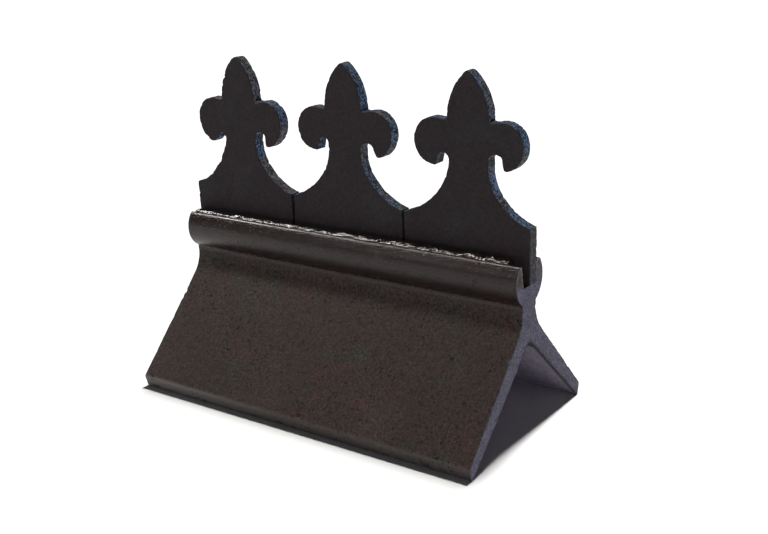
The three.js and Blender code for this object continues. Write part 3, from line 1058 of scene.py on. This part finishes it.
def newMaterial(name):
    material = bpy.data.materials.new(name)
    material.use_nodes = True
    tree = material.node_tree
    w = Wiring(tree)
    coords = w.add("ShaderNodeTexCoord").outputs["Object"]
    return material, w, coords, tree.nodes["Principled BSDF"]


def mottled(w, coords, look):
    # the body color that every material starts from
    values = {"Base": color(*look["base"]), "Warm": color(*look["warm"]), "Cool": color(*look["cool"])}
    return w.grouped(mottleGroup, {"Vector": coords, "Speckle": look["speckle"], **values}).outputs["Color"]


def pitted(w, coords, pits):
    return w.grouped(pitGroup, {"Vector": coords, **pits}).outputs["Mask"]


def bumped(w, shader, height, look):
    values = {"Height": height, "Strength": look["bumpStrength"], "Distance": look["bumpDistance"]}
    w.feed(shader.inputs["Normal"], w.add("ShaderNodeBump", values).outputs[0])
    shader.inputs["Specular IOR Level"].default_value = look["specular"]


# the tile's dark clay; colors are linear and lengths in metres
tileLook = {
    "base": (0.0275, 0.0160, 0.0135),
    "warm": (0.042, 0.0175, 0.0135),
    "cool": (0.0250, 0.0225, 0.0165),
    "speckle": 4.6,
    "pits": {"Scale": 270.0, "Share": 0.3, "Width": 0.36},
    "bigPits": {"Scale": 130.0, "Share": 0.3, "Width": 0.2},
    "rollPitLoss": 0.35,
    # pits and the worn spots' middles are painted near black, as painted shade in the holes
    "pitColor": (0.002, 0.0015, 0.0015),
    "paleSpecks": {"Scale": 330.0, "Share": 0.05, "Width": 0.22},
    "paleSpeckShare": 0.6,
    "paleSpeckColor": (0.11, 0.095, 0.085),
    "cut": {"Dark": color(0.046, 0.043, 0.060), "Light": color(0.106, 0.098, 0.136), "Scale": 680.0},
    # the faces towards the roof: bare clay, made lighter as painted light inside the hollow
    "bareAndLit": {"Dark": color(0.125, 0.104, 0.136), "Light": color(0.168, 0.142, 0.182), "Scale": 300.0},
    "rollShare": 0.8,
    "rollColor": (0.010, 0.0055, 0.005),
    # where the foot band's dust and painted light from the left thin out along the ridge, and its share at
    # either end
    "dustAndLightRun": (-0.24, 0.02, 0.95, 0.3),
    "dustAndLightColor": (0.135, 0.123, 0.115),
    "seamShare": 0.4,
    "seamColor": (0.06, 0.052, 0.062),
    "rimShare": 0.8,
    "rimColor": (0.14, 0.12, 0.115),
    # painted shade inside the hollow's right end and along the back wing's inner arris
    "shadeShare": 0.85,
    "shadeColor": (0.008, 0.006, 0.007),
    "rollRoughness": 0.2,
    "wingRougher": 0.5,
    "roughnessSpread": 0.35,
    "rawRoughness": 0.85,
    # handling has polished the roll's upper side, from the first height to the second
    "polishFrom": (0.172, 0.186),
    "polishShare": 0.5,
    "polishRoughness": 0.24,
    "bumpStrength": 0.85,
    "bumpDistance": 0.0009,
    "specular": 0.3,
}


def tileHoles(w, coords, look, roll, worn):
    # pits that keep together in clusters, fewer on the roll, and the middles of the worn spots; the tone
    # paints them near black as painted shade
    pits = w.math("MAXIMUM", pitted(w, coords, look["pits"]), pitted(w, coords, look["bigPits"]))
    cluster = w.ramp(w.noise(coords, 17, 4, 0.6), 0.4, 0.56, 0.15, 1.0)
    pits = w.times(w.times(pits, cluster), w.minus(1.0, w.times(roll, look["rollPitLoss"])))
    middle = w.times(w.ramp(worn, 0.25, 0.6), w.ramp(w.noise(coords, 300, 3, 0.6), 0.4, 0.55))
    return w.math("MAXIMUM", pits, middle)


def tileTone(w, coords, look, marks, holes, alongRidge, cutColor):
    # body, roll, foot band lightened by dust and painted light, seam, the worn spots' pale rims, holes
    # painted dark as shade, specks, bare clay lightened as painted light, cut clay, painted shade
    roll = marks["roll"]
    tone = w.blend(w.times(roll, look["rollShare"]), mottled(w, coords, look), color(*look["rollColor"]))
    # the foot band's dust and painted light, strongest at the left end
    dustAndLight = w.times(marks["band"], w.ramp(alongRidge, *look["dustAndLightRun"]))
    tone = w.blend(dustAndLight, tone, color(*look["dustAndLightColor"]))
    tone = w.blend(w.times(marks["seam"], look["seamShare"]), tone, color(*look["seamColor"]))
    rim = w.times(w.ramp(marks["worn"], 0.02, 0.2), w.ramp(marks["worn"], 0.6, 0.3))
    rim = w.times(rim, w.ramp(w.noise(coords, 420, 3, 0.6), 0.52, 0.66))
    tone = w.blend(w.times(rim, look["rimShare"]), tone, color(*look["rimColor"]))
    # painted shade in the pits and the worn spots' middles
    tone = w.blend(w.times(holes, 0.9), tone, color(*look["pitColor"]))
    offRoll = w.minus(look["paleSpeckShare"], w.times(roll, look["paleSpeckShare"]))
    specks = w.times(pitted(w, coords, look["paleSpecks"]), offRoll)
    tone = w.blend(specks, tone, color(*look["paleSpeckColor"]))
    # bare clay inside the hollow, made lighter as painted light
    bareAndLitLook = w.grouped(granularGroup, {"Vector": coords, **look["bareAndLit"]})
    tone = w.blend(marks["bareAndLit"], tone, bareAndLitLook.outputs["Color"])
    tone = w.blend(marks["cut"], tone, cutColor)
    # painted shade darkens the hollow near the right end and the back wing's inner arris
    return w.blend(w.times(marks["paintedShade"], look["shadeShare"]), tone, color(*look["shadeColor"]))


def makeTileMaterial(look):
    material, w, coords, shader = newMaterial("darkTileClay")
    marks = {key: w.attribute(key) for key in ("roll", "cut", "worn", "band", "seam", "bareAndLit", "paintedShade")}
    roll, cut = marks["roll"], marks["cut"]
    place = w.add("ShaderNodeSeparateXYZ", {0: coords})
    holes = tileHoles(w, coords, look, roll, marks["worn"])
    cutLook = w.grouped(granularGroup, {"Vector": coords, **look["cut"]})
    tone = tileTone(w, coords, look, marks, holes, place.outputs[0], cutLook.outputs["Color"])
    w.feed(shader.inputs["Base Color"], tone)
    # the wings are rougher than the roll, and cut and bare clay is rougher still
    rough = w.plus(w.times(w.minus(1.0, roll), look["wingRougher"]), look["rollRoughness"])
    spread = w.times(w.minus(w.noise(coords, 150, 5, 0.7), 0.5), look["roughnessSpread"])
    raw = w.times(w.math("MAXIMUM", cut, marks["bareAndLit"]), look["rawRoughness"])
    w.feed(shader.inputs["Roughness"], w.math("MAXIMUM", w.plus(rough, spread), raw))
    height = w.minus(w.times(w.noise(coords, 430, 4, 0.7), 0.8), w.times(holes, 1.4))
    height = w.plus(height, w.times(w.times(cutLook.outputs["Height"], cut), 1.2))
    bumped(w, shader, height, look)
    upper = w.times(w.ramp(place.outputs[2], *look["polishFrom"]), roll)
    polish = w.times(upper, w.ramp(w.noise(coords, 60, 4, 0.6), 0.3, 0.6, 0.35, 1.0))
    w.feed(shader.inputs["Coat Weight"], w.times(polish, look["polishShare"]))
    shader.inputs["Coat Roughness"].default_value = look["polishRoughness"]
    return material


# the plates' matt clay, and the two sides of their cut edges, plain grey and a painted blue reflection
crestLook = {
    "base": (0.0105, 0.0064, 0.0080),
    "warm": (0.0150, 0.0068, 0.0082),
    "cool": (0.0125, 0.0115, 0.0125),
    "speckle": 2.6,
    "pits": {"Scale": 200.0, "Share": 0.16, "Width": 0.3},
    "pitShare": 0.7,
    "pitColor": (0.01, 0.009, 0.011),
    "greyDark": (0.005, 0.005, 0.006),
    "greyLight": (0.10, 0.102, 0.115),
    # the blue of the cut edges is a painted cool reflection over the grain
    "blueReflectionDark": (0.003, 0.006, 0.013),
    "blueReflectionLight": (0.08, 0.135, 0.235),
    "blueReflectionFrom": (0.222, 0.228),
    "cutScale": 560.0,
    "roughness": 0.62,
    "roughnessSpread": 0.2,
    "bumpStrength": 0.6,
    "bumpDistance": 0.0006,
    "specular": 0.25,
}


def makeCrestMaterial(look):
    material, w, coords, shader = newMaterial("mattCrestClay")
    pits = pitted(w, coords, look["pits"])
    cut = w.attribute("cut")
    # the cut edges carry a painted blue reflection in patches, and are plain grey down beside the shoulder
    high = w.ramp(w.add("ShaderNodeSeparateXYZ", {0: coords}).outputs[2], *look["blueReflectionFrom"])
    blue = w.times(w.ramp(w.noise(coords, 26, 3, 0.5), 0.42, 0.6), high)
    cutLook = w.grouped(granularGroup, {
        "Vector": coords,
        "Dark": w.blend(blue, color(*look["greyDark"]), color(*look["blueReflectionDark"])),
        "Light": w.blend(blue, color(*look["greyLight"]), color(*look["blueReflectionLight"])),
        "Scale": look["cutScale"],
    })
    tone = w.blend(w.times(pits, look["pitShare"]), mottled(w, coords, look), color(*look["pitColor"]))
    w.feed(shader.inputs["Base Color"], w.blend(cut, tone, cutLook.outputs["Color"]))
    spread = w.times(w.noise(coords, 120, 3, 0.6), look["roughnessSpread"])
    w.feed(shader.inputs["Roughness"], w.plus(spread, look["roughness"]))
    height = w.minus(w.times(w.noise(coords, 480, 4, 0.65), 0.5), pits)
    height = w.plus(height, w.times(w.times(cutLook.outputs["Height"], cut), 2.0))
    bumped(w, shader, height, look)
    return material


# the mastic, near black and glossy
masticLook = {
    "base": (0.006, 0.004, 0.004),
    "warm": (0.018, 0.008, 0.006),
    "cool": (0.005, 0.005, 0.005),
    "speckle": 0.6,
    "roughness": 0.05,
    "roughnessSpread": 0.1,
    "bumpStrength": 0.8,
    "bumpDistance": 0.0014,
    "specular": 0.8,
}


def makeMasticMaterial(look):
    material, w, coords, shader = newMaterial("glossyMastic")
    w.feed(shader.inputs["Base Color"], mottled(w, coords, look))
    spread = w.times(w.noise(coords, 160, 3, 0.6), look["roughnessSpread"])
    w.feed(shader.inputs["Roughness"], w.plus(spread, look["roughness"]))
    bumped(w, shader, w.noise(coords, 300, 3, 0.5), look)
    return material


tilePiece.data.materials.append(makeTileMaterial(tileLook))
crestMaterial = makeCrestMaterial(crestLook)
for piece in crestPieces:
    piece.data.materials.append(crestMaterial)
masticPiece.data.materials.append(makeMasticMaterial(masticLook))
print("materials ready")
